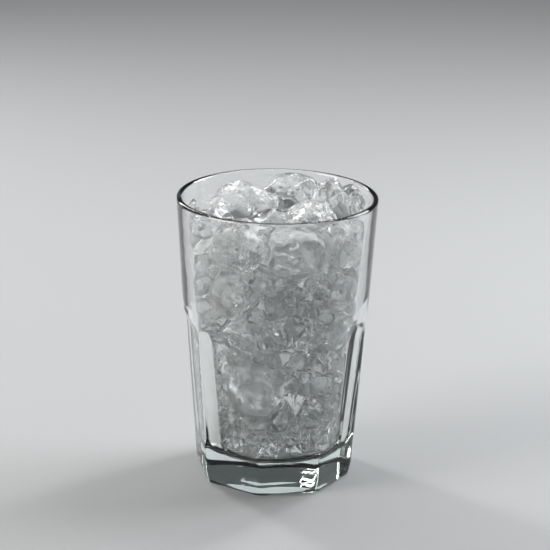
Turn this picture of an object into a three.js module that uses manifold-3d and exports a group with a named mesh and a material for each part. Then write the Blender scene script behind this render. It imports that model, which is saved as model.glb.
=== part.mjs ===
// A faceted pressed-glass tumbler heaped with broken ice.
// The frame is in millimetres with +Z up. The origin is on the table, under the middle of the tumbler,
// and the middle of one flat facet faces -Y. An azimuth is counted from -Y towards +X, in degrees.
import * as THREE from "three";
import { ConvexGeometry } from "three/addons/geometries/ConvexGeometry.js";
import { mergeVertices } from "three/addons/utils/BufferGeometryUtils.js";
import Module from "manifold-3d";

const wasm = await Module();
wasm.setup();

// Driving dimensions of the tumbler
const tumblerHeight = 124;
const rimRadius = 42.7;
const shoulderHeight = 75;
const shoulderRadius = 39.65;
const heelHeight = 5.4;
const heelRadius = 34.3;
const footRadius = 33.0;
const facetCount = 8;
const cornerRounding = 0.992; // how much of each sharp corner between two facets the round body leaves
const facetTop = 65; // where each flat facet starts to curve out into its arch
const archRadius = 18;
const rimThickness = 2.3;
const floorHeight = 13;
const floorRadius = 22.5;
const floorFillet = 6;
const hollowUnderFoot = 1.6;
const footRingInner = 25;
const dishShoulder = 0.6; // where the dish under the foot bends, as a share of its radius
const footEdge = 0.8;
const tumblerSides = 48;
const lipSteps = 4;
const filletSteps = 3;
const arcSteps = 4;
const arcTurn = 42; // how far the arch's arc turns before it has left the glass, in degrees

// Driving dimensions of the ice
const gap = 0.36; // air left between two lumps, and between a lump and the glass
const heapClearance = 14; // how far above the rim the cavity's cone is carried for the heap
const cornersPerLump = 20;
const cornerDrift = 0.8; // in radians, round the lump
const lumpLean = 0.5; // the range of a lump's tilt, in radians
const deepestCorner = 0.84; // the nearest that a corner lies to the lump's middle, as a share of its reach
const scoopDetail = 1; // how often the ball that makes a scoop is divided

const weldDistance = 1e-4; // corners nearer to each other than this are one corner
const seedSpread = 7919; // keeps the chains of neighbouring seeds apart
const turningSeed = 1000; // keeps the chance in a lump's turning apart from the chance in its shape

const colours = { glass: 0xdfe9e6, ice: 0xe9eef0 };

const degrees = (angle) => (angle * Math.PI) / 180;

// The point at an azimuth, a distance from the axis and a height.
function placeAt(azimuth, out, height) {
  return new THREE.Vector3(out * Math.sin(degrees(azimuth)), -out * Math.cos(degrees(azimuth)), height);
}

// A closed geometry as a solid that can be joined and cut.
function toSolid(geometry) {
  const bare = geometry.clone();
  bare.deleteAttribute("normal");
  bare.deleteAttribute("uv");
  const merged = mergeVertices(bare, weldDistance);
  const triVerts = new Uint32Array(merged.index.array);
  return new wasm.Manifold(
    new wasm.Mesh({ numProp: 3, vertProperties: merged.attributes.position.array, triVerts }),
  );
}

// A solid as a geometry, moved so that the point centre is its own origin.
function toGeometry(solid, centre = new THREE.Vector3()) {
  const mesh = solid.getMesh();
  const geometry = new THREE.BufferGeometry();
  geometry.setAttribute("position", new THREE.BufferAttribute(new Float32Array(mesh.vertProperties), 3));
  geometry.setIndex(new THREE.BufferAttribute(new Uint32Array(mesh.triVerts), 1));
  geometry.translate(-centre.x, -centre.y, -centre.z);
  geometry.computeVertexNormals();
  return geometry;
}

// The same chain of numbers between 0 and 1 each time for one seed: each is the last one times a large factor,
// plus a large step, with what goes over 32 bits left off.
function randomFrom(seed) {
  const factor = 1664525;
  const step = 1013904223;
  let state = seed * seedSpread;
  return () => {
    state = (Math.imul(state, factor) + step) >>> 0;
    return state / 2 ** 32;
  };
}

// Everything beyond a plane, as a large block: the plane has this unit normal and passes through this point.
function beyond(normal, point) {
  const side = 4 * tumblerHeight;
  const block = new THREE.BoxGeometry(side, side, side);
  block.translate(0, 0, side / 2);
  block.applyQuaternion(new THREE.Quaternion().setFromUnitVectors(new THREE.Vector3(0, 0, 1), normal));
  block.translate(point.x, point.y, point.z);
  return toSolid(block);
}

// Tumbler

// The radius of the round body below the shoulder, which is also where the facets' corners lie.
function bodyRadius(height) {
  const share = (height - heelHeight) / (shoulderHeight - heelHeight);
  return heelRadius + (shoulderRadius - heelRadius) * share;
}

// The distance from the axis to the middle of a flat facet.
function facetDistance(cornerRadius) {
  return (cornerRadius / cornerRounding) * Math.cos(Math.PI / facetCount);
}

// The inner wall is one straight cone from the top of the floor's fillet to the lip.
const innerRimRadius = rimRadius - rimThickness;
const innerSlope = (innerRimRadius - floorRadius - floorFillet) / (tumblerHeight - floorHeight - floorFillet);

// The inside from the middle of the floor to the top of the fillet, kept away from the glass by the inset.
function innerProfile(inset) {
  const points = [new THREE.Vector2(0, floorHeight + inset)];
  for (let step = 0; step <= filletSteps; step++) {
    const turn = (step / filletSteps) * (Math.PI / 2);
    points.push(
      new THREE.Vector2(
        floorRadius + (floorFillet - inset) * Math.sin(turn),
        floorHeight + floorFillet - (floorFillet - inset) * Math.cos(turn),
      ),
    );
  }
  return points;
}

// The round body: a closed profile turned about the axis, with a rounded lip and a shallow dish below.
function tumblerBody() {
  const lip = rimThickness / 2;
  const profile = [
    new THREE.Vector2(0, hollowUnderFoot),
    new THREE.Vector2(footRingInner * dishShoulder, hollowUnderFoot * (1 - dishShoulder ** 2)),
    new THREE.Vector2(footRingInner, 0),
    new THREE.Vector2(footRadius - footEdge, 0),
    new THREE.Vector2(footRadius, footEdge),
    new THREE.Vector2(heelRadius, heelHeight),
    new THREE.Vector2(shoulderRadius, shoulderHeight),
  ];
  for (let step = 0; step <= lipSteps; step++) {
    const turn = (step / lipSteps) * Math.PI;
    profile.push(
      new THREE.Vector2(
        rimRadius - lip + lip * Math.cos(turn),
        tumblerHeight - lip + lip * Math.sin(turn),
      ),
    );
  }
  profile.push(...innerProfile(0).reverse());
  const lathe = new THREE.LatheGeometry(profile, tumblerSides);
  lathe.rotateX(Math.PI / 2);
  return toSolid(lathe);
}

// The glass that one facet takes off the round body: flat up to facetTop, then an arc out to the surface,
// and steeper below the heel.
function facetCutter() {
  const reach = rimRadius + rimThickness;
  const halfWidth = rimRadius / 2;
  const below = -1;
  const flatBottom = facetDistance(heelRadius);
  const flatTop = facetDistance(bodyRadius(facetTop));
  const heelSlope = (facetDistance(heelRadius) - facetDistance(footRadius)) / heelHeight;
  const outline = new THREE.Shape();
  outline.moveTo(facetDistance(footRadius) + heelSlope * below, below);
  outline.lineTo(flatBottom, heelHeight);
  outline.lineTo(flatTop, facetTop);
  const arcEnd = degrees(arcTurn);
  const lean = (flatTop - flatBottom) / (facetTop - heelHeight);
  for (let step = 1; step <= arcSteps; step++) {
    const turn = (step / arcSteps) * arcEnd;
    const rise = archRadius * Math.sin(turn);
    outline.lineTo(flatTop + lean * rise + archRadius * (1 - Math.cos(turn)), facetTop + rise);
  }
  outline.lineTo(reach, facetTop + archRadius * Math.sin(arcEnd));
  outline.lineTo(reach, below);
  const cutter = new THREE.ExtrudeGeometry(outline, { depth: 2 * halfWidth, bevelEnabled: false });
  cutter.translate(0, 0, -halfWidth);
  cutter.rotateX(Math.PI / 2);
  return cutter;
}

// The pressed body with its eight facets cut.
function makeTumbler() {
  let body = tumblerBody();
  for (let facet = 0; facet < facetCount; facet++) {
    const cutter = facetCutter().rotateZ((facet * 2 * Math.PI) / facetCount);
    body = body.subtract(toSolid(cutter));
  }
  return toGeometry(body);
}

// The space that the ice may fill: the tumbler's inside, less the gap, carried on upwards for the heap.
function makeCavity() {
  const profile = innerProfile(gap);
  const top = tumblerHeight + heapClearance;
  profile.push(new THREE.Vector2(innerRimRadius - gap + innerSlope * heapClearance, top));
  profile.push(new THREE.Vector2(0, top));
  const lathe = new THREE.LatheGeometry(profile, tumblerSides);
  lathe.rotateX(Math.PI / 2);
  return toSolid(lathe);
}

// Ice

// Each lump: name, azimuth, distance from the axis, height of its middle, then its width round the wall,
// its depth towards the axis and its height. The lists run from the bottom of the tumbler to the heap.
const bottomIce = [
  ["ice_bottom_front", -19, 22.5, 22, 17, 21, 20],
  ["ice_bottom_front_left", -49, 23.5, 22, 16, 20, 20],
  ["ice_bottom_left", -82, 23.5, 21, 19, 21, 18],
  ["ice_bottom_front_right", 8, 21.5, 24, 21, 24, 25],
  ["ice_bottom_right", 42, 22.5, 24, 21, 24, 27],
  ["ice_bottom_far_right", 80, 22.5, 23, 23, 23, 24],
  ["ice_bottom_back_right", 122, 21.5, 24, 25, 24, 25],
  ["ice_bottom_back", 166, 21.5, 23, 26, 24, 23],
  ["ice_bottom_back_left", 212, 21.5, 25, 26, 24, 27],
  ["ice_bottom_far_left", 250, 22.5, 23, 20, 23, 23],
  ["ice_bottom_middle", 0, 0, 23, 25, 25, 22],
];
const lowerIce = [
  ["ice_lower_slab", -31, 21.5, 47, 34, 29, 36],
  ["ice_lower_chip", -78, 27.5, 34.7, 16, 16, 18],
  ["ice_lower_right", 25, 23.5, 53, 20, 26, 31],
  ["ice_lower_far_right", 65, 23.5, 46, 27, 26, 30],
  ["ice_lower_back_right", 114, 23.5, 45, 31, 26, 29],
  ["ice_lower_back", 164, 23.5, 44, 30, 26, 28],
  ["ice_lower_back_left", 213, 23.5, 47, 29, 26, 29],
  ["ice_lower_left", 258, 24.5, 50, 26, 24, 29],
  ["ice_lower_middle", 0, 0, 45, 27, 27, 28],
];
const middleIce = [
  ["ice_middle_wedge", -38, 24.5, 71, 28, 30, 25],
  ["ice_middle_tip", -9, 29.5, 74, 18, 22, 19],
  ["ice_middle_front", 14, 26.5, 72, 20, 26, 23],
  ["ice_middle_right", 42, 27.5, 70, 23, 24, 28],
  ["ice_middle_far_right", 79, 26.5, 69, 26, 28, 28],
  ["ice_middle_back_right", 122, 25.5, 68, 32, 29, 28],
  ["ice_middle_back", 172, 25.5, 68, 32, 29, 29],
  ["ice_middle_back_left", 220, 25.5, 71, 30, 29, 28],
  ["ice_middle_left", 266, 27.5, 71, 24, 26, 26],
  ["ice_middle_middle", 0, 0, 68, 29, 29, 28],
];
const upperIce = [
  ["ice_upper_left", -47, 28.5, 89, 30, 29, 28],
  ["ice_upper_front", -13, 31.5, 88, 17, 22, 18],
  ["ice_upper_front_right", 11, 30.5, 87, 19, 23, 19],
  ["ice_upper_right", 38, 29.5, 90, 24, 28, 25],
  ["ice_upper_far_right", 70, 29.5, 89, 26, 28, 25],
  ["ice_upper_back_right", 113, 27.5, 90, 33, 30, 29],
  ["ice_upper_back", 161, 27.5, 91, 32, 30, 28],
  ["ice_upper_back_left", 209, 27.5, 92, 32, 30, 29],
  ["ice_upper_far_left", 252, 29.5, 90, 25, 28, 27],
  ["ice_upper_middle", 0, 0, 91, 33, 33, 28],
];
const topIce = [
  ["ice_top_front", 3, 29.5, 108, 33, 30, 30],
  ["ice_top_left", -44, 29.5, 109, 32, 30, 27],
  ["ice_top_right", 42, 30.5, 108, 25, 28, 30],
  ["ice_top_far_right", 76, 29.5, 107, 26, 28, 27],
  ["ice_top_back_right", 116, 28.5, 109, 33, 30, 27],
  ["ice_top_back", 163, 28.5, 107, 32, 30, 27],
  ["ice_top_back_left", 211, 28.5, 105, 32, 30, 25],
  ["ice_top_far_left", 258, 29.5, 106, 29, 28, 26],
  ["ice_top_middle", 0, 0, 109, 33, 33, 24],
];
const heapIce = [
  ["ice_heap_left", -79, 16, 122, 27, 40, 23],
  ["ice_heap_chip", -98, 35, 119, 12, 9, 15],
  ["ice_heap_front", 24, 23, 120, 28, 24, 17],
  ["ice_heap_peak", 80, 22, 119, 24, 21, 31],
  ["ice_heap_right", 92, 31, 118.5, 19, 17, 19],
  ["ice_heap_back", 149, 19, 119, 34, 28, 25],
];
// Scoops that broke out of the heap's lumps: lump, azimuth, distance from the axis, height, radius.
const scoops = [
  ["ice_heap_left", -88, 15, 135, 6.5],
  ["ice_heap_left", -102, 30, 132, 6],
  ["ice_heap_left", -55, 7, 131, 6.5],
  ["ice_heap_peak", 74, 13, 132, 6.5],
  ["ice_heap_back", 160, 22, 135, 8],
];

// How far a solid reaches from a point along a direction.
function reachOf(solid, from, direction) {
  const { vertProperties, numProp } = solid.getMesh();
  let reach = 0;
  for (let i = 0; i < vertProperties.length; i += numProp) {
    const along =
      (vertProperties[i] - from.x) * direction.x +
      (vertProperties[i + 1] - from.y) * direction.y +
      (vertProperties[i + 2] - from.z) * direction.z;
    reach = Math.max(reach, along);
  }
  return reach;
}

// One lump on its own: corners spread evenly over an ellipsoid, each at its own depth, joined by flat breaks.
function brokenLump(width, depth, height, seed) {
  const random = randomFrom(seed);
  const golden = Math.PI * (3 - Math.sqrt(5));
  const startTurn = random() * 2 * Math.PI;
  const corners = [];
  for (let k = 0; k < cornersPerLump; k++) {
    const level = 1 - (2 * (k + 0.5)) / cornersPerLump;
    const turn = startTurn + k * golden + (random() - 0.5) * cornerDrift;
    const ring = Math.sqrt(1 - level * level);
    const reach = deepestCorner + (1 - deepestCorner) * random();
    const corner = new THREE.Vector3(ring * Math.cos(turn), ring * Math.sin(turn), level);
    corners.push(corner.multiply(new THREE.Vector3(width, depth, height)).multiplyScalar(reach / 2));
  }
  return toSolid(new ConvexGeometry(corners));
}

// A lump turned to its azimuth, leant a little and set in its place.
function turnedAndPlaced(solid, azimuth, seed, centre) {
  const random = randomFrom(seed + turningSeed);
  const lean = () => (random() - 0.5) * lumpLean;
  const tilt = new THREE.Euler(lean(), lean(), degrees(azimuth));
  const geometry = toGeometry(solid).applyQuaternion(new THREE.Quaternion().setFromEuler(tilt));
  geometry.translate(centre.x, centre.y, centre.z);
  return toSolid(geometry);
}

// Where two lumps would run into each other, both are cut back to a plane between them, a gap apart.
function pressTogether(lumps) {
  const cuts = lumps.map(() => []);
  lumps.forEach((one, i) => {
    lumps.slice(i + 1).forEach((other, k) => {
      const apart = other.centre.clone().sub(one.centre);
      const distance = apart.length();
      const direction = apart.normalize();
      const reachOne = reachOf(one.solid, one.centre, direction);
      const reachOther = reachOf(other.solid, other.centre, direction.clone().negate());
      if (reachOne + reachOther < distance - gap) return;
      const meeting = (distance * reachOne) / (reachOne + reachOther);
      const pointOne = one.centre.clone().addScaledVector(direction, meeting - gap / 2);
      const pointOther = one.centre.clone().addScaledVector(direction, meeting + gap / 2);
      cuts[i].push([direction.clone(), pointOne]);
      cuts[i + 1 + k].push([direction.clone().negate(), pointOther]);
    });
  });
  lumps.forEach((lump, i) => {
    for (const [normal, point] of cuts[i]) lump.solid = lump.solid.subtract(beyond(normal, point));
  });
}

// All the lumps, each broken, placed, kept inside the tumbler and pressed against its neighbours.
function makeIce() {
  const cavity = makeCavity();
  const rows = [...bottomIce, ...lowerIce, ...middleIce, ...upperIce, ...topIce, ...heapIce];
  const lumps = rows.map(([name, azimuth, out, height, width, depth, tall], index) => {
    const centre = placeAt(azimuth, out, height);
    const bare = brokenLump(width, depth, tall, index + 1);
    return { name, centre, solid: turnedAndPlaced(bare, azimuth, index + 1, centre).intersect(cavity) };
  });
  pressTogether(lumps);
  for (const [name, azimuth, out, height, radius] of scoops) {
    const scoop = new THREE.IcosahedronGeometry(radius, scoopDetail);
    const place = placeAt(azimuth, out, height);
    scoop.translate(place.x, place.y, place.z);
    const lump = lumps.find((each) => each.name === name);
    lump.solid = lump.solid.subtract(toSolid(scoop));
  }
  return lumps;
}

// Assembly

const tumblerOfIce = new THREE.Group();
const glass = new THREE.MeshStandardMaterial({
  color: colours.glass,
  roughness: 0.05,
  metalness: 0,
  transparent: true,
  opacity: 0.35,
});
const ice = new THREE.MeshStandardMaterial({ color: colours.ice, roughness: 0.3, metalness: 0 });

const tumbler = new THREE.Mesh(makeTumbler(), glass);
tumbler.name = "tumbler";
tumblerOfIce.add(tumbler);

for (const { name, centre, solid } of makeIce()) {
  const lump = new THREE.Mesh(toGeometry(solid, centre), ice);
  lump.name = name;
  lump.position.copy(centre);
  tumblerOfIce.add(lump);
}

export default tumblerOfIce;
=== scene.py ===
# %% [markdown]
# A drinking tumbler of pressed glass, heaped with broken ice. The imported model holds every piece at
# its true size: one tumbler and 55 lumps of ice, all with flat sides. This script gives each of them
# the surface that the real thing has. The glass gets fire-polished curves, the ice gets its
# shell-shaped breaks, frost, cracks and bubbles. Everything is in metres, where the model has it.

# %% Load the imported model
import math

import bmesh
import bpy
import numpy as np
from mathutils import Matrix, Vector, noise
from mathutils.bvhtree import BVHTree


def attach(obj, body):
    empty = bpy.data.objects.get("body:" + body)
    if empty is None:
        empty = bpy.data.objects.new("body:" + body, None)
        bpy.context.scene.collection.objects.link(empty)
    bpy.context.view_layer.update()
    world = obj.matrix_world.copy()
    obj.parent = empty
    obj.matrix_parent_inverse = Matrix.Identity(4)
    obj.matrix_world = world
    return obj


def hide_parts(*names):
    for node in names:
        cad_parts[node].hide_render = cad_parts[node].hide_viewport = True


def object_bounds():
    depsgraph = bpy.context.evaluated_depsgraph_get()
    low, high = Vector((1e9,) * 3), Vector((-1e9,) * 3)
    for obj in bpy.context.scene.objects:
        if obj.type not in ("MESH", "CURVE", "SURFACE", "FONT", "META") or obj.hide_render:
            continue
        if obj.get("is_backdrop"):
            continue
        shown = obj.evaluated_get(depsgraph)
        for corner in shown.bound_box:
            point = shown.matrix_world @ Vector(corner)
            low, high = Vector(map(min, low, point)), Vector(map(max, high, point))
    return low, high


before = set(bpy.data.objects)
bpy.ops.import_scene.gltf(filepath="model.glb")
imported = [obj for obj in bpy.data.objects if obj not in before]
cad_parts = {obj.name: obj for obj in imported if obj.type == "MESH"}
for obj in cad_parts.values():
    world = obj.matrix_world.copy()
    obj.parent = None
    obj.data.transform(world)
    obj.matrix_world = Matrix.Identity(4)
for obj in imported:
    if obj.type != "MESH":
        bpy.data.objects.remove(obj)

MM = 0.001
cad_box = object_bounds()
ice_nodes = sorted(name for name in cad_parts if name.startswith("ice_"))
print("lumps of ice:", len(ice_nodes), "height in mm:", round(cad_box[1].z / MM, 1))

# %% [markdown]
# Colours are picked as a screen shows them, in sRGB hex, but Blender works in linear light. One
# function turns one into the other. One more adds a node to a material, sets what it is told to set
# and links what it is given, so that each material below reads as a short list.

# %% Colour and node helpers
def linear(hex_colour):
    """An sRGB hex colour, such as "#80a0ff", as linear red, green, blue and alpha."""
    parts = [int(hex_colour[i : i + 2], 16) / 255 for i in (1, 3, 5)]
    return tuple(p / 12.92 if p <= 0.04045 else ((p + 0.055) / 1.055) ** 2.4 for p in parts) + (1.0,)


def add_node(tree, kind, inputs=None, **settings):
    """A new node of this kind. An input is a value, or the output socket that feeds it."""
    node = tree.nodes.new(kind)
    for name, value in settings.items():
        setattr(node, name, value)
    for name, value in (inputs or {}).items():
        if isinstance(value, bpy.types.NodeSocket):
            tree.links.new(value, node.inputs[name])
        else:
            node.inputs[name].default_value = value
    return node


def new_material(name):
    """An empty node material and its tree."""
    material = bpy.data.materials.new(name)
    material.use_nodes = True
    material.node_tree.nodes.clear()
    return material, material.node_tree


def noise_node(tree, place, size, detail):
    """A noise texture whose features are about this many metres across."""
    inputs = {"Vector": place.outputs["Position"], "Scale": 1 / size, "Detail": detail}
    return add_node(tree, "ShaderNodeTexNoise", inputs)


def multiply_add(tree, value, factor, addend):
    """A node that gives value times factor, plus addend."""
    return add_node(tree, "ShaderNodeMath", {0: value, 1: factor, 2: addend}, operation="MULTIPLY_ADD")


def mesh_object(name, points, faces):
    """A smooth-shaded mesh object from points in metres and faces."""
    mesh = bpy.data.meshes.new(name)
    mesh.from_pydata([tuple(p) for p in points], [], faces)
    mesh.validate()
    mesh.shade_smooth()
    thing = bpy.data.objects.new(name, mesh)
    bpy.context.scene.collection.objects.link(thing)
    return thing

# %% [markdown]
# The camera stands where a photographer with a long lens would: about a metre away and 18 degrees
# above the middle of the glass. One facet of the tumbler faces -Y, and the camera looks from 12
# degrees to its left, so that a corner between two facets lies just left of the middle. It is tipped
# by one degree, as a hand does.

# %% Camera
CAMERA_AZIMUTH = math.radians(-11.92)
CAMERA_ELEVATION = math.radians(18.07)
CAMERA_TIP = math.radians(0.97)
CAMERA_DISTANCE = 1063 * MM
SENSOR_WIDTH = 36.0
LENS_LENGTH = 163.05
AIM = Vector((-0.53, 0.0, 88.5)) * MM


def towards(azimuth, elevation):
    """The unit direction from the object to something at this azimuth from -Y and elevation."""
    flat = math.cos(elevation)
    return Vector((flat * math.sin(azimuth), -flat * math.cos(azimuth), math.sin(elevation)))


def aimed(location, target, tip=0.0):
    """The matrix of a thing that stands at location and looks at target, tipped about its line of sight."""
    turn = (target - location).to_track_quat("-Z", "Y").to_matrix().to_4x4()
    return Matrix.Translation(location) @ turn @ Matrix.Rotation(tip, 4, "Z")


camera_data = bpy.data.cameras.new("long_lens")
camera_data.sensor_width = SENSOR_WIDTH
camera_data.lens = LENS_LENGTH
camera = bpy.data.objects.new("camera", camera_data)
bpy.context.scene.collection.objects.link(camera)
aim = Matrix.Rotation(CAMERA_AZIMUTH, 3, "Z") @ AIM
camera_place = aim + CAMERA_DISTANCE * towards(CAMERA_AZIMUTH, CAMERA_ELEVATION)
camera.matrix_world = aimed(camera_place, aim, CAMERA_TIP)
bpy.context.scene.camera = camera
print("camera at", [round(v, 3) for v in camera.location])

# %% [markdown]
# The tumbler stands on a plain pale floor, a wide disc of painted board. Clear things show by what
# they bend into view: a pale floor under a dim room gives the glass its dark outlines, because its
# steep edges bring the room into view in place of the floor.

# %% Floor
FLOOR_RADIUS = 6.0
FLOOR_SIDES = 96
BOARD_GRAIN = 0.6 * MM
BOARD_RELIEF = 0.1 * MM
BOARD_WAVINESS = 0.02
BOARD_ROUGHNESS = 0.75

board, tree = new_material("matt_painted_board")
place = add_node(tree, "ShaderNodeNewGeometry")
grain = noise_node(tree, place, BOARD_GRAIN, 3.0)
bump = add_node(
    tree,
    "ShaderNodeBump",
    {"Height": grain.outputs["Fac"], "Strength": BOARD_WAVINESS, "Distance": BOARD_RELIEF},
)
paint = add_node(
    tree,
    "ShaderNodeBsdfPrincipled",
    {"Base Color": linear("#9c9d9e"), "Roughness": BOARD_ROUGHNESS, "Normal": bump.outputs["Normal"]},
)
add_node(tree, "ShaderNodeOutputMaterial", {"Surface": paint.outputs["BSDF"]})

angles = [2 * math.pi * k / FLOOR_SIDES for k in range(FLOOR_SIDES)]
rim = [(FLOOR_RADIUS * math.cos(a), FLOOR_RADIUS * math.sin(a), 0.0) for a in angles]
floor = mesh_object("floor", rim, [tuple(range(FLOOR_SIDES))])
floor.data.materials.append(board)
floor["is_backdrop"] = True

# %% [markdown]
# Two large soft boxes and an overhead panel light the set evenly, in a dim grey room. Two narrow
# strips stand behind the glass. Clear ice shows its broken edges only when something narrow and
# bright is bent into view, and the strips are what those edges catch.

# %% Studio light
LIGHT_TARGET = Vector((0, 0, 60 * MM))
LIGHT_BOUNCES = 28
LIGHT_CLAMP = 6.0
# Of each light: azimuth and elevation in degrees, distance, width and height in metres, watts and colour.
LIGHTS = {
    "soft_box_left": (-78, 26, 0.9, 0.45, 0.7, 7.5, "#fffdf8"),
    "soft_box_right": (98, 24, 0.9, 0.35, 0.7, 8.0, "#f8fbff"),
    "strip_back_left": (-150, 28, 0.9, 0.1, 0.8, 4.5, "#ffffff"),
    "strip_back_right": (122, 50, 0.9, 0.1, 0.7, 4.5, "#ffffff"),
    "panel_above": (190, 65, 1.2, 1.2, 0.8, 6.0, "#ffffff"),
}


def soft_box(name, azimuth, elevation, distance, width, height, watts, colour):
    """A rectangular light that faces the middle of the tumbler."""
    data = bpy.data.lights.new(name, "AREA")
    data.shape = "RECTANGLE"
    data.size = width
    data.size_y = height
    data.energy = watts
    data.color = linear(colour)[:3]
    lamp = bpy.data.objects.new(name, data)
    bpy.context.scene.collection.objects.link(lamp)
    way = towards(math.radians(azimuth), math.radians(elevation))
    lamp.matrix_world = aimed(LIGHT_TARGET + distance * way, LIGHT_TARGET)


for name, row in LIGHTS.items():
    soft_box(name, *row)

room = bpy.data.worlds.new("dim_grey_room")
room.use_nodes = True
room.node_tree.nodes["Background"].inputs["Color"].default_value = linear("#505254")
room.node_tree.nodes["Background"].inputs["Strength"].default_value = 1.0
bpy.context.scene.world = room
bpy.context.scene.view_settings.view_transform = "Standard"
bpy.context.scene.cycles.max_bounces = LIGHT_BOUNCES
bpy.context.scene.cycles.transmission_bounces = LIGHT_BOUNCES
bpy.context.scene.cycles.sample_clamp_indirect = LIGHT_CLAMP

# %% [markdown]
# The tumbler is pressed: hot glass is squeezed between a mould and a plunger. The mould gives the
# outside its eight flat facets, which curve out into arches half way up. The plunger gives the inside
# its plain round wall. A mesh cut with booleans would have torn shading where each arch meets the
# wall, so the outside is worked out as a distance from the axis for each direction and height: the
# lesser of the round wall and the flat facet, blended over half a millimetre, as the fire polish
# leaves it.

# %% Tumbler form
TUMBLER_HEIGHT = 124.0
RIM_RADIUS = 42.7
SHOULDER = (75.0, 39.65)
HEEL = (5.4, 34.3)
FOOT_RADIUS = 33.0
FACETS = 8
CORNER_ROUNDING = 0.992
FACET_TOP = 65.0
ARCH_RADIUS = 18.0
RIM_THICKNESS = 2.3
FLOOR_HEIGHT = 13.0
FLOOR_FLAT = 22.5
FLOOR_FILLET = 6.0
DISH_DEPTH = 1.6
DISH_RADIUS = 25.0
FOOT_EDGE = 0.8
POLISH = 0.5
COLUMNS_PER_FACET = 28


def least(a, b, blend):
    """The lesser of a and b, rounded off where they cross, and never above either."""
    near = np.maximum(blend - np.abs(a - b), 0) / blend
    return np.minimum(a, b) - near * near * blend / 4


def round_wall(height):
    """The radius of the round body at a height, in millimetres."""
    return np.interp(
        height,
        [HEEL[0], SHOULDER[0], TUMBLER_HEIGHT - RIM_THICKNESS / 2],
        [HEEL[1], SHOULDER[1], RIM_RADIUS],
    )


def facet_distance(height):
    """How far the middle of a flat facet is from the axis: flat, then an arc that runs out at the top."""
    flatness = math.cos(math.pi / FACETS) / CORNER_ROUNDING
    radii = [FOOT_RADIUS, HEEL[1], round_wall(FACET_TOP)]
    straight = flatness * np.interp(height, [0, HEEL[0], FACET_TOP], radii)
    lean = flatness * (round_wall(FACET_TOP) - HEEL[1]) / (FACET_TOP - HEEL[0])
    rise = np.clip(height - FACET_TOP, 0, 0.999 * ARCH_RADIUS)
    return straight + lean * rise + ARCH_RADIUS - np.sqrt(ARCH_RADIUS**2 - rise**2)


def outside_ring(height, azimuths):
    """The outer radius at one height, for each azimuth."""
    off_middle = (azimuths + math.pi / FACETS) % (2 * math.pi / FACETS) - math.pi / FACETS
    facet = facet_distance(height) / np.cos(off_middle)
    foot = np.interp(height, [0, HEEL[0]], [FOOT_RADIUS, HEEL[1]])
    wall = round_wall(height) if height > HEEL[0] else foot
    edge = max(FOOT_EDGE - height, 0)
    pulled_in = FOOT_EDGE - math.sqrt(max(FOOT_EDGE**2 - edge**2, 0))
    return least(wall, facet, POLISH) - pulled_in


def quarter(count):
    """Angles from 0 to a quarter turn."""
    return np.linspace(0, math.pi / 2, count)


azimuths = np.arange(FACETS * COLUMNS_PER_FACET) * 2 * math.pi / (FACETS * COLUMNS_PER_FACET)
ones = np.ones_like(azimuths)
outer_heights = np.concatenate(
    [
        FOOT_EDGE * (1 - np.cos(quarter(5))),
        np.linspace(1.3, HEEL[0] - 0.6, 6),
        np.linspace(HEEL[0] - 0.3, HEEL[0] + 0.9, 5),
        np.arange(8, 60, 3.0),
        np.arange(61, 80.5, 0.4),
        np.linspace(82, TUMBLER_HEIGHT - RIM_THICKNESS / 2 - 0.5, 16),
    ]
)
dish_shares = (0.25, 0.5, 0.75, 0.9, 1.0)
rings = [(DISH_RADIUS * share * ones, DISH_DEPTH * (1 - share**2)) for share in dish_shares]
rings += [(outside_ring(height, azimuths), height) for height in outer_heights]
lip = RIM_THICKNESS / 2
for turn in np.linspace(0, math.pi, 13):
    radius = RIM_RADIUS - lip + lip * math.cos(turn)
    rings.append((radius * ones, TUMBLER_HEIGHT - lip + lip * math.sin(turn)))
inner_rim = RIM_RADIUS - RIM_THICKNESS
fillet_top = FLOOR_HEIGHT + FLOOR_FILLET
for share in np.linspace(0.02, 0.98, 30):
    height = TUMBLER_HEIGHT - lip + (fillet_top - TUMBLER_HEIGHT + lip) * share
    rings.append(((inner_rim + (FLOOR_FLAT + FLOOR_FILLET - inner_rim) * share) * ones, height))
for turn in quarter(9)[::-1]:
    radius = FLOOR_FLAT + FLOOR_FILLET * math.sin(turn)
    rings.append((radius * ones, fillet_top - FLOOR_FILLET * math.cos(turn)))
rings += [(FLOOR_FLAT * share * ones, FLOOR_HEIGHT) for share in (0.8, 0.55, 0.3, 0.12)]

# %% [markdown]
# The rings are joined to their neighbours by four-sided faces, and the first and last close on a
# point on the axis: the middle of the dish under the foot, and the middle of the floor inside.

# %% Tumbler mesh
def rings_to_mesh(name, rings, bottom, top):
    """One closed mesh from rings of points, with a point at each end."""
    count = len(rings[0][0])
    points = [(0.0, 0.0, bottom)]
    for radii, height in rings:
        points += [(r * math.sin(a), -r * math.cos(a), height) for r, a in zip(radii, azimuths)]
    points.append((0.0, 0.0, top))
    faces = [(0, 1 + (k + 1) % count, 1 + k) for k in range(count)]
    for row in range(len(rings) - 1):
        start = 1 + row * count
        for k in range(count):
            after = (k + 1) % count
            faces.append((start + k, start + after, start + count + after, start + count + k))
    last = 1 + (len(rings) - 1) * count
    faces += [(last + k, last + (k + 1) % count, len(points) - 1) for k in range(count)]
    return mesh_object(name, np.array(points) * MM, faces)


tumbler = rings_to_mesh("pressed_tumbler", rings, DISH_DEPTH, FLOOR_HEIGHT)
print("tumbler faces:", len(tumbler.data.polygons))

# %% [markdown]
# Soda-lime glass has an IOR of 1.52. It is clear where it is thin and faintly green where light runs
# a long way inside it, at the foot and along the rim, which is what the volume absorption gives.
# Pressing leaves it smooth but very slightly wavy, on a scale of about a centimetre, and that is what
# makes straight things wobble behind a cheap tumbler.

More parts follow.
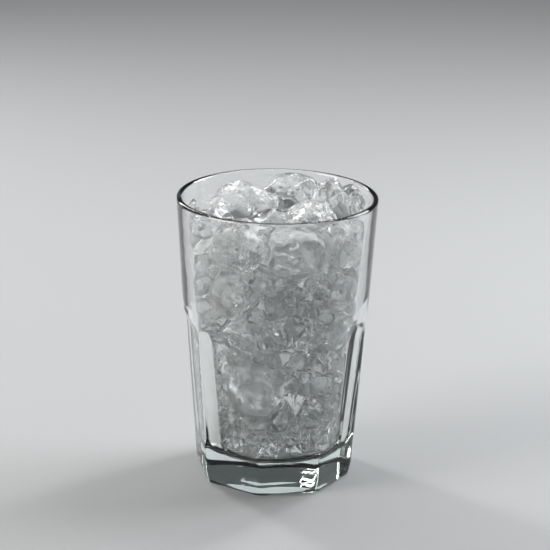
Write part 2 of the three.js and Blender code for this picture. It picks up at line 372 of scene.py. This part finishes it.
# %% Pressed soda-lime glass
PRESS_WAVE = 9 * MM
PRESS_DEPTH = 0.03 * MM
GREEN_DENSITY = 9.0
GLASS_IOR = 1.52

glass, tree = new_material("fire_polished_soda_lime_glass")
place = add_node(tree, "ShaderNodeNewGeometry")
wave = noise_node(tree, place, PRESS_WAVE, 1.0)
wavy = add_node(
    tree,
    "ShaderNodeBump",
    {"Height": wave.outputs["Fac"], "Strength": 1.0, "Distance": PRESS_DEPTH},
)
body = add_node(
    tree,
    "ShaderNodeBsdfPrincipled",
    {
        "Base Color": linear("#ffffff"),
        "Roughness": 0.0,
        "IOR": GLASS_IOR,
        "Transmission Weight": 1.0,
        "Normal": wavy.outputs["Normal"],
    },
)
tint = add_node(
    tree, "ShaderNodeVolumeAbsorption", {"Color": linear("#d9f2ea"), "Density": GREEN_DENSITY}
)
add_node(
    tree,
    "ShaderNodeOutputMaterial",
    {"Surface": body.outputs["BSDF"], "Volume": tint.outputs["Volume"]},
)
tumbler.data.materials.append(glass)
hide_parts("tumbler")
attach(tumbler, "root")

# %% [markdown]
# Ice breaks as glass does, in shallow shells. Each lump starts from its flat-sided solid, seen as a
# distance from the lump's middle in every direction. Scoops are then taken out of it: wide and
# shallow ones for the clean breaks, and many small ones where it was crushed. Nothing is ever added
# outside the solid, so no lump grows into another. The same rule makes the frost: where small scoops
# are thick, the ice is white. The sharp ridges between the breaks are also painted white. This is a
# painted highlight that stands in for bright edges catching the light.

# %% Ice form
CONTACT_GAP = 0.5
CONTACT_FADE = 1.3
MELTED_FLAT = 0.85
FAR_OUTSIDE = 1000.0
SCOOPS_AT_ONCE = 64
MISSED = 1e9
PATCH_SHIFT = (17.3, 5.1, 9.7)


def sphere_directions(subdivisions):
    """Unit directions spread evenly over a sphere, and the triangles that join them."""
    ball = bmesh.new()
    bmesh.ops.create_icosphere(ball, subdivisions=subdivisions, radius=1.0)
    directions = np.array([v.co[:] for v in ball.verts])
    triangles = [tuple(v.index for v in face.verts) for face in ball.faces]
    ball.free()
    return directions, triangles


def search_tree(mesh):
    """A tree of the faces of a mesh, in millimetres, that finds the nearest one quickly."""
    points = [v.co / MM for v in mesh.vertices]
    return BVHTree.FromPolygons(points, [tuple(p.vertices) for p in mesh.polygons])


def middle_of(node):
    """The middle of a lump's box, in millimetres."""
    corners = np.array([v.co[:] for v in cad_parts[node].data.vertices]) / MM
    return Vector((corners.min(axis=0) + corners.max(axis=0)) / 2)


def distances_to_solid(node, centre, directions):
    """How far the node's solid reaches from its middle in each direction, in millimetres."""
    tree = search_tree(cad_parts[node].data)
    hits = [tree.ray_cast(centre + Vector(d) * FAR_OUTSIDE, -Vector(d)) for d in directions]
    return np.array([FAR_OUTSIDE - hit[3] for hit in hits])


def scooped(reach, directions, where, radii, depths):
    """The reach left after spheres bite into it in these directions, each by its own radius and depth."""
    left = reach.copy()
    for k in range(0, len(where), SCOOPS_AT_ONCE):
        part = slice(k, k + SCOOPS_AT_ONCE)
        nearest = np.argmax(directions @ where[part].T, axis=0)
        surface = left[nearest]
        middles = where[part] * (surface + radii[part] - depths[part])[:, None]
        along = directions @ middles.T
        inside = along**2 - (np.sum(middles**2, axis=1) - radii[part] ** 2)
        entry = along - np.sqrt(np.maximum(inside, 0))
        entry[(inside <= 0) | (along <= 0)] = MISSED
        left = np.minimum(left, entry.min(axis=1))
    return left


def random_directions(random, count):
    """This many unit directions, spread at random over a sphere."""
    raw = random.normal(size=(count, 3))
    return raw / np.linalg.norm(raw, axis=1)[:, None]


def inner_wall(height):
    """The inner radius of the glass at this height, in millimetres."""
    radii = [FLOOR_FLAT + FLOOR_FILLET, inner_rim]
    return np.interp(height, [fillet_top, TUMBLER_HEIGHT - lip], radii)


def wall_contact(points):
    """1 where points in millimetres lie against the glass wall, 0 where they are clear of it."""
    apart = inner_wall(points[:, 2]) - np.hypot(points[:, 0], points[:, 1])
    against = np.clip((CONTACT_FADE - apart) / (CONTACT_FADE - CONTACT_GAP), 0, 1)
    return against * (points[:, 2] < TUMBLER_HEIGHT - lip)


def smoothed(values, triangles):
    """Each value replaced by the mean of its neighbours' values on the sphere."""
    corners = np.array(triangles)
    one = np.concatenate([corners[:, k] for k in (0, 1, 2, 1, 2, 0)])
    other = np.concatenate([corners[:, k] for k in (1, 2, 0, 0, 1, 2)])
    return np.bincount(one, values[other], len(values)) / np.bincount(one, minlength=len(values))


def patches(points, size, seed):
    """Smooth patches between 0 and 1 over points in millimetres, this many millimetres across."""
    shift = Vector([step * seed for step in PATCH_SHIFT])
    return np.array([0.5 + 0.5 * noise.noise(Vector(p) / size + shift) for p in points])

# %% [markdown]
# Lumps that lie on each other rest on a few small spots. The spots are found on the flat-sided
# solids, wherever the glass or another lump comes close from below: the closest one, and then the
# ones farthest from it. The scoops take nothing away there, on either side, or the lump would hang.
# The third of a millimetre that the solids keep between them stays.

# %% Where the lumps rest
REST_GAP = 0.7
REST_SPOTS = 3
REST_RADIUS = 3.4
REST_DETAIL = 4
CARRYING_SLOPE = 0.2


def spread_out(touches):
    """The closest of these touches, and then the ones farthest from those already chosen."""
    chosen = []
    for _ in range(min(REST_SPOTS, len(touches))):
        apart = []
        for gap, spot, _, _ in touches:
            apart.append(min([(spot - one[1]).length for one in chosen], default=-gap))
        chosen.append(touches[int(np.argmax(apart))])
    return chosen


def find_rests():
    """For each lump, the spots on its solid where it rests on something or something rests on it."""
    around, _ = sphere_directions(REST_DETAIL)
    trees = {node: search_tree(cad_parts[node].data) for node in ice_nodes}
    trees["tumbler"] = search_tree(tumbler.data)
    spots = {name: [] for name in trees}
    few = []
    for node in ice_nodes:
        centre = middle_of(node)
        distances = distances_to_solid(node, centre, around)
        size = distances.max() + REST_GAP
        others = [name for name in trees if name != node]
        close = [name for name in others if trees[name].find_nearest(centre, size)[0] is not None]
        touches = []
        for way, distance in zip(around, distances):
            spot = centre + Vector(way) * distance
            for other in close:
                near, _, _, gap = trees[other].find_nearest(spot, REST_GAP)
                if near is not None and near.z - spot.z < -CARRYING_SLOPE * gap:
                    touches.append((gap, spot, other, near))
        for gap, spot, other, near in spread_out(touches):
            spots[node].append(spot)
            spots[other].append(near)
        if len(touches) < REST_SPOTS:
            few.append((node, len(touches)))
    print("lumps with fewer spots below them than", REST_SPOTS, "-", few)
    return spots


def rest_contact(points, spots):
    """1 where points in millimetres are close to one of the spots, 0 where they are clear of them all."""
    apart = [np.full(len(points), REST_RADIUS)]
    apart += [np.linalg.norm(points - np.array(spot), axis=1) for spot in spots]
    return np.clip(2 - 2 * np.min(apart, axis=0) / REST_RADIUS, 0, 1)


rests = find_rests()
print("spots kept for resting:", sum(len(rests[node]) for node in ice_nodes))

# %% [markdown]
# Ice from a freezer cracks inside as it warms, and it holds small bubbles of air. Both are hollows,
# so their faces look into the hollow, away from the ice. A crack is a thin, slightly curved sheet of
# air: seen at a low angle it throws all the light back and looks like a silver flake, which no colour
# or bump can do.

# %% Cracks and bubbles
CRACK_SIDES = 16
CRACK_RINGS = 3
CRACK_THICKNESS = 0.08
CRACKS_TRIED = 6
BUBBLES_TRIED = 14
CRACK_RADII = (0.8, 3.2)
CRACK_BEND = 0.3
CRACK_EDGE = 0.75
CRACK_WAVE = 0.15
CRACK_RAGGED = 0.1
BUBBLE_RADII = (0.12, 0.4)
HOLLOW_SPREAD = 0.35
SKIN = 0.88


def crack(random, radius):
    """The points and faces of one sheet of air about the origin: two skins that share an uneven edge."""
    axes = np.linalg.qr(random.normal(size=(3, 3)))[0]
    bend = random.uniform(-CRACK_BEND, CRACK_BEND, 2) / radius
    turns = np.arange(CRACK_SIDES) * 2 * math.pi / CRACK_SIDES
    waves = np.sin(turns * random.integers(2, 5) + random.uniform(0, 6))
    edge = CRACK_EDGE + CRACK_WAVE * waves + random.uniform(0, CRACK_RAGGED, CRACK_SIDES)
    points = []
    for side in (1, -1):
        points.append((0, 0, side * CRACK_THICKNESS / 2))
        for ring in range(1, CRACK_RINGS):
            share = ring / CRACK_RINGS
            x = radius * share * edge * np.cos(turns)
            y = radius * share * edge * np.sin(turns)
            sheet = bend[0] * x**2 + bend[1] * y**2
            points += list(zip(x, y, sheet + side * CRACK_THICKNESS / 2 * (1 - share**2)))
    x = radius * edge * np.cos(turns)
    y = radius * edge * np.sin(turns)
    points += list(zip(x, y, bend[0] * x**2 + bend[1] * y**2))
    faces = []
    skin = 1 + (CRACK_RINGS - 1) * CRACK_SIDES
    for side in (0, 1):
        starts = [side * skin + 1 + ring * CRACK_SIDES for ring in range(CRACK_RINGS - 1)]
        starts.append(2 * skin)
        for k in range(CRACK_SIDES):
            after = (k + 1) % CRACK_SIDES
            faces.append((side * skin, starts[0] + k, starts[0] + after))
            for near, far in zip(starts, starts[1:]):
                faces += [(near + k, far + k, far + after), (near + k, far + after, near + after)]
        if side == 0:
            faces = [face[::-1] for face in faces]
    return np.array(points) @ axes.T, faces


def make_hollows(random, directions, reach, centre, first):
    """Points and faces of the cracks and bubbles in one lump, numbered from first, in millimetres."""
    ball, ball_faces = sphere_directions(1)
    ball_faces = [face[::-1] for face in ball_faces]
    taken, points, faces = [], [], []
    for attempt in range(CRACKS_TRIED + BUBBLES_TRIED):
        if attempt < CRACKS_TRIED:
            radius = random.uniform(*CRACK_RADII)
            shape, shape_faces = crack(random, radius)
        else:
            radius = random.uniform(*BUBBLE_RADII)
            shape, shape_faces = ball * radius, ball_faces
        middle = random.normal(size=3) * HOLLOW_SPREAD * reach.mean()
        shape = shape + middle
        nearest = np.argmax(directions @ shape.T, axis=0)
        along = directions[nearest]
        room = SKIN * reach[nearest]
        apart = all(np.linalg.norm(middle - other) > radius + size for other, size in taken)
        if apart and np.all(np.sum(shape * along, axis=1) < room):
            faces += [tuple(first + len(points) + corner for corner in face) for face in shape_faces]
            points += list(shape + centre)
            taken.append((middle, radius))
    return np.array(points).reshape(-1, 3), faces

# %% [markdown]
# Every lump has its own mixture, read off the photograph: crush is how much of it is broken
# small and white, melt is how far its edges have run smooth, cloud is how milky it is inside, even is
# how evenly, and worn is how deep its breaks go. Lumps that aren't named have the ordinary mixture,
# with a little chance in it.

# %% The character of each lump
ORDINARY = {"crush": 0.25, "melt": 0.1, "cloud": 0.5}
CHARACTERS = {
    "ice_heap_left": {"crush": 0.28, "melt": 0.0, "cloud": 0.8, "worn": 0.15},
    "ice_heap_back": {"crush": 0.0, "melt": 0.9, "cloud": 0.1, "worn": 0.6},
    "ice_heap_peak": {"crush": 0.3, "melt": 0.1, "cloud": 0.4, "worn": 0.15},
    "ice_heap_right": {"crush": 0.1, "melt": 0.7, "cloud": 0.1},
    "ice_heap_front": {"crush": 0.2, "melt": 0.5, "cloud": 0.7},
    "ice_top_left": {"crush": 0.45, "melt": 0.1, "cloud": 0.6, "worn": 0.6},
    "ice_top_front": {"crush": 0.05, "melt": 0.3, "cloud": 0.9, "worn": 0.4, "even": 0.8},
    "ice_top_right": {"crush": 0.45, "melt": 0.1, "cloud": 0.5},
    "ice_top_far_right": {"crush": 0.1, "melt": 0.5, "cloud": 0.8},
    "ice_upper_left": {"crush": 0.3, "melt": 0.2, "cloud": 0.9},
    "ice_upper_front": {"crush": 0.6, "melt": 0.0, "cloud": 0.4},
    "ice_upper_front_right": {"crush": 0.55, "melt": 0.0, "cloud": 0.4},
    "ice_middle_wedge": {"crush": 0.35, "melt": 0.2, "cloud": 0.8},
    "ice_middle_tip": {"crush": 0.3, "melt": 0.3, "cloud": 0.5},
    "ice_lower_slab": {"crush": 0.05, "melt": 0.3, "cloud": 1.0, "worn": 0.4, "even": 0.8},
    "ice_lower_right": {"crush": 0.05, "melt": 0.8, "cloud": 0.3},
    "ice_bottom_front_right": {"crush": 0.2, "melt": 0.7, "cloud": 0.1},
    "ice_bottom_front": {"crush": 0.2, "melt": 0.7, "cloud": 0.1},
    "ice_bottom_front_left": {"crush": 0.3, "melt": 0.6, "cloud": 0.1},
    "ice_bottom_left": {"crush": 0.3, "melt": 0.6, "cloud": 0.1},
}
NEAR_SIDE = towards(CAMERA_AZIMUTH, 0.0)
EVENNESS = 0.5
SEEN_FROM = 6.0
FINE = 6
PLAIN = 5
print("lumps with a mixture of their own:", len(CHARACTERS), "of", len(ice_nodes))

# %% [markdown]
# A lump is broken in the order in which it happens: broad flats, clean breaks, chipped edges, crushed
# places. Then it melts a little, and its sides settle against the glass. Each kind of scoop has a
# number, a range of radii and a range of depths, the first two kinds in shares of the lump's size and
# the others in millimetres.

# %% Breaking the lumps
BROAD_FLATS = (11, (4.0, 12.0), (0.07, 0.19))
CLEAN_BREAKS = (6, (0.6, 1.5), (0.03, 0.09))
EDGE_CHIPS = (30, (1.5, 4.0), (0.1, 0.4))
CRUSHED_BITES = (700, (0.9, 2.4), (0.2, 0.8))
STRAY_BITES = 0.02
CRUSH_CHANCE = 0.1
# These find the sharp ridges that get a painted white highlight.
HIGHLIGHT_RIDGE_ROUNDS = 4
HIGHLIGHT_RIDGE_FROM = 0.002
HIGHLIGHT_RIDGE_RANGE = 0.005
FROST_PATCH = 8.0
FROST_FROM = 0.85
FROST_RANGE = 0.2
# Patches of the painted highlight on the ridges: size, gain, loss and seed.
HIGHLIGHT_PATCH = 4.0
HIGHLIGHT_GAIN = 1.6
HIGHLIGHT_LOSS = 0.3
HIGHLIGHT_SEED = 7
MELT_ROUNDS = 10
RIPPLE_PATCH = 3.0
RIPPLE_DEPTH = 0.05
FROSTED_DEPTH = 0.12
RIPPLE_SEED = 3
LAST_ROUNDS = 3
WETTED = 0.7
CORE = 0.5
MILKY_PATCH = 5.0
MILKY_GAIN = 1.5
MILKY_LOSS = 0.05
MILKY_SEED = 11


def broken(random, reach, directions, kind, size=1.0, depth=1.0):
    """The reach left after this kind of scoop in random places, scaled by size and depth."""
    count, radii, depths = kind
    where = random_directions(random, count)
    all_radii = random.uniform(*radii, count) * size
    return scooped(reach, directions, where, all_radii, random.uniform(*depths, count) * depth)


def make_lump(node, seed):
    """The points, in metres, and triangles of one lump, with the cloud of each point and its frost, which
    on the ridges also holds a painted highlight.
    """
    random = np.random.default_rng(seed)
    character = CHARACTERS.get(node, ORDINARY)
    chance = random.uniform(-CRUSH_CHANCE, CRUSH_CHANCE)
    crush = character["crush"] + chance * (node not in CHARACTERS)
    centre = middle_of(node)
    seen = centre.dot(NEAR_SIDE) > SEEN_FROM or node.startswith("ice_heap")
    directions, triangles = sphere_directions(FINE if seen else PLAIN)
    solid = distances_to_solid(node, centre, directions)
    size = solid.mean()

    worn = character.get("worn", 1.0) * size
    reach = broken(random, solid, directions, BROAD_FLATS, size, worn)
    reach = broken(random, reach, directions, CLEAN_BREAKS, size, worn)
    reach = broken(random, reach, directions, EDGE_CHIPS)
    # Painted highlight: the sharp ridges left by the breaks are found here. Below, they are painted white
    # in patches, in place of bright edges catching the light.
    broad = reach
    for _ in range(HIGHLIGHT_RIDGE_ROUNDS):
        broad = smoothed(broad, triangles)
    ridge_highlight_mask = np.clip(((reach - broad) / size - HIGHLIGHT_RIDGE_FROM) / HIGHLIGHT_RIDGE_RANGE, 0, 1)

    form = directions * solid[:, None]
    patchy = patches(form, FROST_PATCH, seed)
    frost = np.clip((patchy + crush - FROST_FROM) / FROST_RANGE, 0, 1)
    uneven = patches(form, HIGHLIGHT_PATCH, seed + HIGHLIGHT_SEED)
    edge = ridge_highlight_mask * np.clip(HIGHLIGHT_GAIN * uneven - HIGHLIGHT_LOSS, 0, 1)
    tried, radii, depths = CRUSHED_BITES
    bites = random_directions(random, tried)
    home = np.argmax(directions @ bites.T, axis=0)
    bites = bites[random.random(tried) < STRAY_BITES + (1 - STRAY_BITES) * frost[home]]
    bite_radii = random.uniform(*radii, len(bites))
    reach = scooped(reach, directions, bites, bite_radii, random.uniform(*depths, len(bites)))

    melt = character["melt"]
    for _ in range(round(MELT_ROUNDS * melt)):
        reach = np.minimum(reach, smoothed(reach, triangles))
    ripple = patches(form, RIPPLE_PATCH, seed + RIPPLE_SEED)
    reach = reach - (RIPPLE_DEPTH + FROSTED_DEPTH * frost) * ripple
    surface = np.array(centre) + form
    touching = wall_contact(surface)
    reach = reach + (solid - reach) * touching * MELTED_FLAT
    for _ in range(LAST_ROUNDS):
        reach = np.minimum(reach, smoothed(reach, triangles))
    # The painted ridge highlight joins the frost here, so from now on the frost number holds frost and
    # painted highlight together.
    frost = np.maximum(frost, edge * (1 - melt)) * (1 - WETTED * touching)
    reach = np.minimum(np.maximum(reach, CORE * solid), solid)
    reach = reach + (solid - reach) * rest_contact(surface, rests[node])
    skin = np.array(centre) + directions * reach[:, None]
    outer_skins.append((skin, triangles))
    even = character.get("even", EVENNESS)
    drifts = patches(skin, MILKY_PATCH, seed + MILKY_SEED)
    milky = np.clip(MILKY_GAIN * drifts - MILKY_LOSS, even, 1) * character["cloud"]
    hollows, hollow_faces = make_hollows(random, directions, reach, np.array(centre), len(skin))
    points = np.concatenate([skin, hollows]) * MM
    inside = np.zeros(len(hollows))
    frost = np.concatenate([frost, inside])
    cloud = np.concatenate([milky, inside])
    return points, triangles + hollow_faces, frost, cloud


def ice_object(name, points, triangles, frost, cloud):
    """A mesh object of ice that carries its frost and cloud numbers; on a lump's ridges the frost number
    also holds a painted highlight.
    """
    thing = mesh_object(name, points, triangles)
    for layer_name, values in (("frost", frost), ("cloud", cloud)):
        layer = thing.data.attributes.new(layer_name, "FLOAT", "POINT")
        layer.data.foreach_set("value", np.asarray(values, dtype=np.float32))
    return thing


outer_skins = []
lumps = {}
for number, node in enumerate(ice_nodes):
    lumps[node] = ice_object(node.replace("ice_", "lump_"), *make_lump(node, number + 1))
print("triangles in the ice:", sum(len(lump.data.polygons) for lump in lumps.values()))

# %% [markdown]
# Breaking ice makes small chips as well as lumps. They fall until they wedge between larger pieces
# and the wall of the glass, and they fill the gaps there. Each chip is found the same way: a point in
# a gap moves about and keeps every step that gives it more room. A chip then grows round it until
# flat against everything near it, and it stays only where it meets ice that slopes enough to hold it
# from below. Only the outer skins of the lumps count here, since beside the thin edge of a crack the
# nearest face doesn't tell whether a point is in the ice or out of it.

# %% Chips wedged in the gaps
CHIPS_TRIED = 520
CHIP_TRIANGLES = 110000
CHIP_STEPS = 16
CHIP_SMALLEST = 1.1
CHIP_LARGEST = 4.0
CHIP_FLOOR = fillet_top + 0.5
CHIP_TOP = 108.0
CHIP_SPREAD = math.radians(105)
CHIP_STRETCH = 1.4
CHIP_DEPTHS = (0.8, 6)
CHIP_STEP = 0.5
CHIP_DETAIL = 4
CHIP_FROSTS = [0.0, 0.2, 0.5]
CHIP_CLOUD = 0.3
CHIP_SEED = 4
WALL_ROUNDS = 4
GRAZING = 0.02
CLEARANCE = 0.03
HELD_WITHIN = 0.1


def room_at(spot, ice_tree, seats):
    """The distance from a point to the nearest thing, in millimetres. Inside ice it is negative."""
    near, normal, _, distance = ice_tree.find_nearest(spot)
    if (spot - near).dot(normal) < 0:
        return -distance
    wall = float(inner_wall(spot.z)) - math.hypot(spot.x, spot.y)
    others = [(seat - spot).length - radius for seat, radius in seats]
    return min([distance, wall, spot.z - CHIP_FLOOR] + others)


def find_seats(random, ice_tree):
    """The spots where chips fit, each with the radius of its room."""
    seats = []
    for _ in range(CHIPS_TRIED):
        azimuth = CAMERA_AZIMUTH + random.uniform(-CHIP_SPREAD, CHIP_SPREAD)
        height = random.uniform(CHIP_FLOOR, CHIP_TOP - CHIP_LARGEST)
        out = float(inner_wall(height)) - random.uniform(*CHIP_DEPTHS)
        spot = towards(azimuth, 0.0) * out + Vector((0, 0, height))
        room = room_at(spot, ice_tree, seats)
        for _ in range(CHIP_STEPS):
            moved = spot + Vector(random.normal(size=3) * CHIP_STEP)
            moved_room = room_at(moved, ice_tree, seats)
            if moved_room > room:
                spot, room = moved, moved_room
        if CHIP_SMALLEST < room < CHIP_LARGEST:
            seats.append((spot, room))
    return seats


def reach_to_wall(spot, directions):
    """How far it is from a point to the inner wall in each direction."""
    flat = np.sum(directions[:, :2] ** 2, axis=1) + 1e-9
    across = directions[:, :2] @ np.array(spot)[:2]
    reach = np.zeros(len(directions))
    for _ in range(WALL_ROUNDS):
        wall = inner_wall(spot.z + directions[:, 2] * reach)
        reach = (np.sqrt(across**2 + flat * (wall**2 - spot.x**2 - spot.y**2)) - across) / flat
        reach = np.minimum(reach, 2 * CHIP_LARGEST)
    return reach


def grow_chip(seat, seats, ice_tree, directions):
    """The reach of a chip in each direction, and whether sloping ice holds it from below."""
    spot, room = seat
    limit = CHIP_STRETCH * room
    near = [found for found in ice_tree.find_nearest_range(spot, limit) if found[3] > 0]
    planes = [((co - spot).normalized(), distance) for co, _, _, distance in near]
    carries = [(co - spot).z < 0 and normal.z > CARRYING_SLOPE for co, normal, _, _ in near]
    for other, radius in seats:
        apart = (other - spot).length
        if 0 < apart < limit + CHIP_STRETCH * radius:
            planes.append(((other - spot).normalized(), apart * room / (room + radius)))
    planes.append((Vector((0, 0, -1)), spot.z - fillet_top))
    ways = np.array([way for way, _ in planes])
    gaps = np.array([gap for _, gap in planes])
    reach = np.min(gaps / np.maximum(directions @ ways.T, GRAZING), axis=1)
    reach = np.minimum(np.minimum(reach, limit), reach_to_wall(spot, directions))
    meets = reach[np.argmax(directions @ ways.T, axis=0)] > gaps - HELD_WITHIN
    return reach - CLEARANCE, any(met and carried for met, carried in zip(meets, carries))


all_points, all_triangles = [], []
for skin, triangles in outer_skins:
    all_triangles += [tuple(len(all_points) + k for k in face) for face in triangles]
    all_points += [Vector(point) for point in skin]
ice_tree = BVHTree.FromPolygons(all_points, all_triangles)
random = np.random.default_rng(CHIP_SEED)
seats = find_seats(random, ice_tree)
directions, triangles = sphere_directions(CHIP_DETAIL)
chip_points, chip_faces, chip_frost = [], [], []
for seat in seats:
    reach, held = grow_chip(seat, seats, ice_tree, directions)
    frost = random.choice(CHIP_FROSTS)
    if held and len(chip_faces) < CHIP_TRIANGLES:
        chip_faces += [tuple(len(chip_points) + k for k in face) for face in triangles]
        chip_points += list((np.array(seat[0]) + directions * reach[:, None]) * MM)
        chip_frost += [frost] * len(directions)
chip_cloud = np.full(len(chip_points), CHIP_CLOUD)
chips = ice_object("wedged_chips", chip_points, chip_faces, chip_frost, chip_cloud)
kept = len(chip_faces) // len(triangles)
print("chips:", kept, "of", len(seats), "seats, triangles:", len(chip_faces))

# %% [markdown]
# Ice has an IOR of 1.31, less than glass, so it shines less and looks greyer. Clean breaks are clear
# and wet. Frosted places are crushed so small that light comes out again in every direction: there
# the surface is rough and part of it is plain white. The frost number of each point says which is
# which, and a fine grain breaks up the border between them. On the ridges of the lumps the frost
# number also holds a painted highlight: white painted where bright edges would catch the light.

# %% Broken ice
FLECK_SIZE = 1.3 * MM
RIPPLE_SIZE = 2.2 * MM
PIT_DEPTH = 0.15 * MM
PIT_STRENGTH = 0.5
ICE_IOR = 1.31
ICE_DENSITY = 2.0
WHITE_FROM = 0.95
WHITE_TO = 1.4
CLEAREST = 0.97
CLOUD_HIDES = 0.28
WHITE_HIDES = 0.38
SMOOTHEST = 0.02
CLOUD_BLURS = 0.13
WHITE_BLURS = 0.3

ice, tree = new_material("fast_frozen_broken_ice")
place = add_node(tree, "ShaderNodeNewGeometry")
# The frost attribute: frost, and on the lumps' ridges a painted highlight as well.
frost_and_ridge_highlight = add_node(tree, "ShaderNodeAttribute", attribute_name="frost")
clouded = add_node(tree, "ShaderNodeAttribute", attribute_name="cloud")
flecks = noise_node(tree, place, FLECK_SIZE, 2.0)
whiteness = add_node(
    tree,
    "ShaderNodeMath",
    {0: flecks.outputs["Fac"], 1: frost_and_ridge_highlight.outputs["Fac"]},
    operation="ADD",
)
white = add_node(
    tree,
    "ShaderNodeMapRange",
    {"Value": whiteness.outputs["Value"], "From Min": WHITE_FROM, "From Max": WHITE_TO},
    clamp=True,
)
haze = multiply_add(tree, clouded.outputs["Fac"], -CLOUD_HIDES, CLEAREST)
clear_share = multiply_add(tree, white.outputs["Result"], -WHITE_HIDES, haze.outputs["Value"])
blur = multiply_add(tree, clouded.outputs["Fac"], CLOUD_BLURS, SMOOTHEST)
rough = multiply_add(tree, white.outputs["Result"], WHITE_BLURS, blur.outputs["Value"])
ripples = noise_node(tree, place, RIPPLE_SIZE, 1.0)
pits = add_node(
    tree,
    "ShaderNodeBump",
    {"Height": ripples.outputs["Fac"], "Strength": PIT_STRENGTH, "Distance": PIT_DEPTH},
)
body = add_node(
    tree,
    "ShaderNodeBsdfPrincipled",
    {
        "Base Color": linear("#fbfcfc"),
        "IOR": ICE_IOR,
        "Transmission Weight": clear_share.outputs["Value"],
        "Roughness": rough.outputs["Value"],
        "Normal": pits.outputs["Normal"],
    },
)
tint = add_node(
    tree, "ShaderNodeVolumeAbsorption", {"Color": linear("#eef5f6"), "Density": ICE_DENSITY}
)
add_node(
    tree,
    "ShaderNodeOutputMaterial",
    {"Surface": body.outputs["BSDF"], "Volume": tint.outputs["Volume"]},
)

chips.data.materials.append(ice)
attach(chips, "root")
for node, lump in lumps.items():
    lump.data.materials.append(ice)
    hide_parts(node)
    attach(lump, "root")

# %% [markdown]
# Last, the size of the dressed model is set beside the size of the imported one.

# %% Sizes and finish
shown_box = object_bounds()
sizes = {"cad": [list(corner) for corner in cad_box], "shown": [list(corner) for corner in shown_box]}
for name, box in sizes.items():
    print(name, "box in mm:", [[round(v / MM, 2) for v in corner] for corner in box])
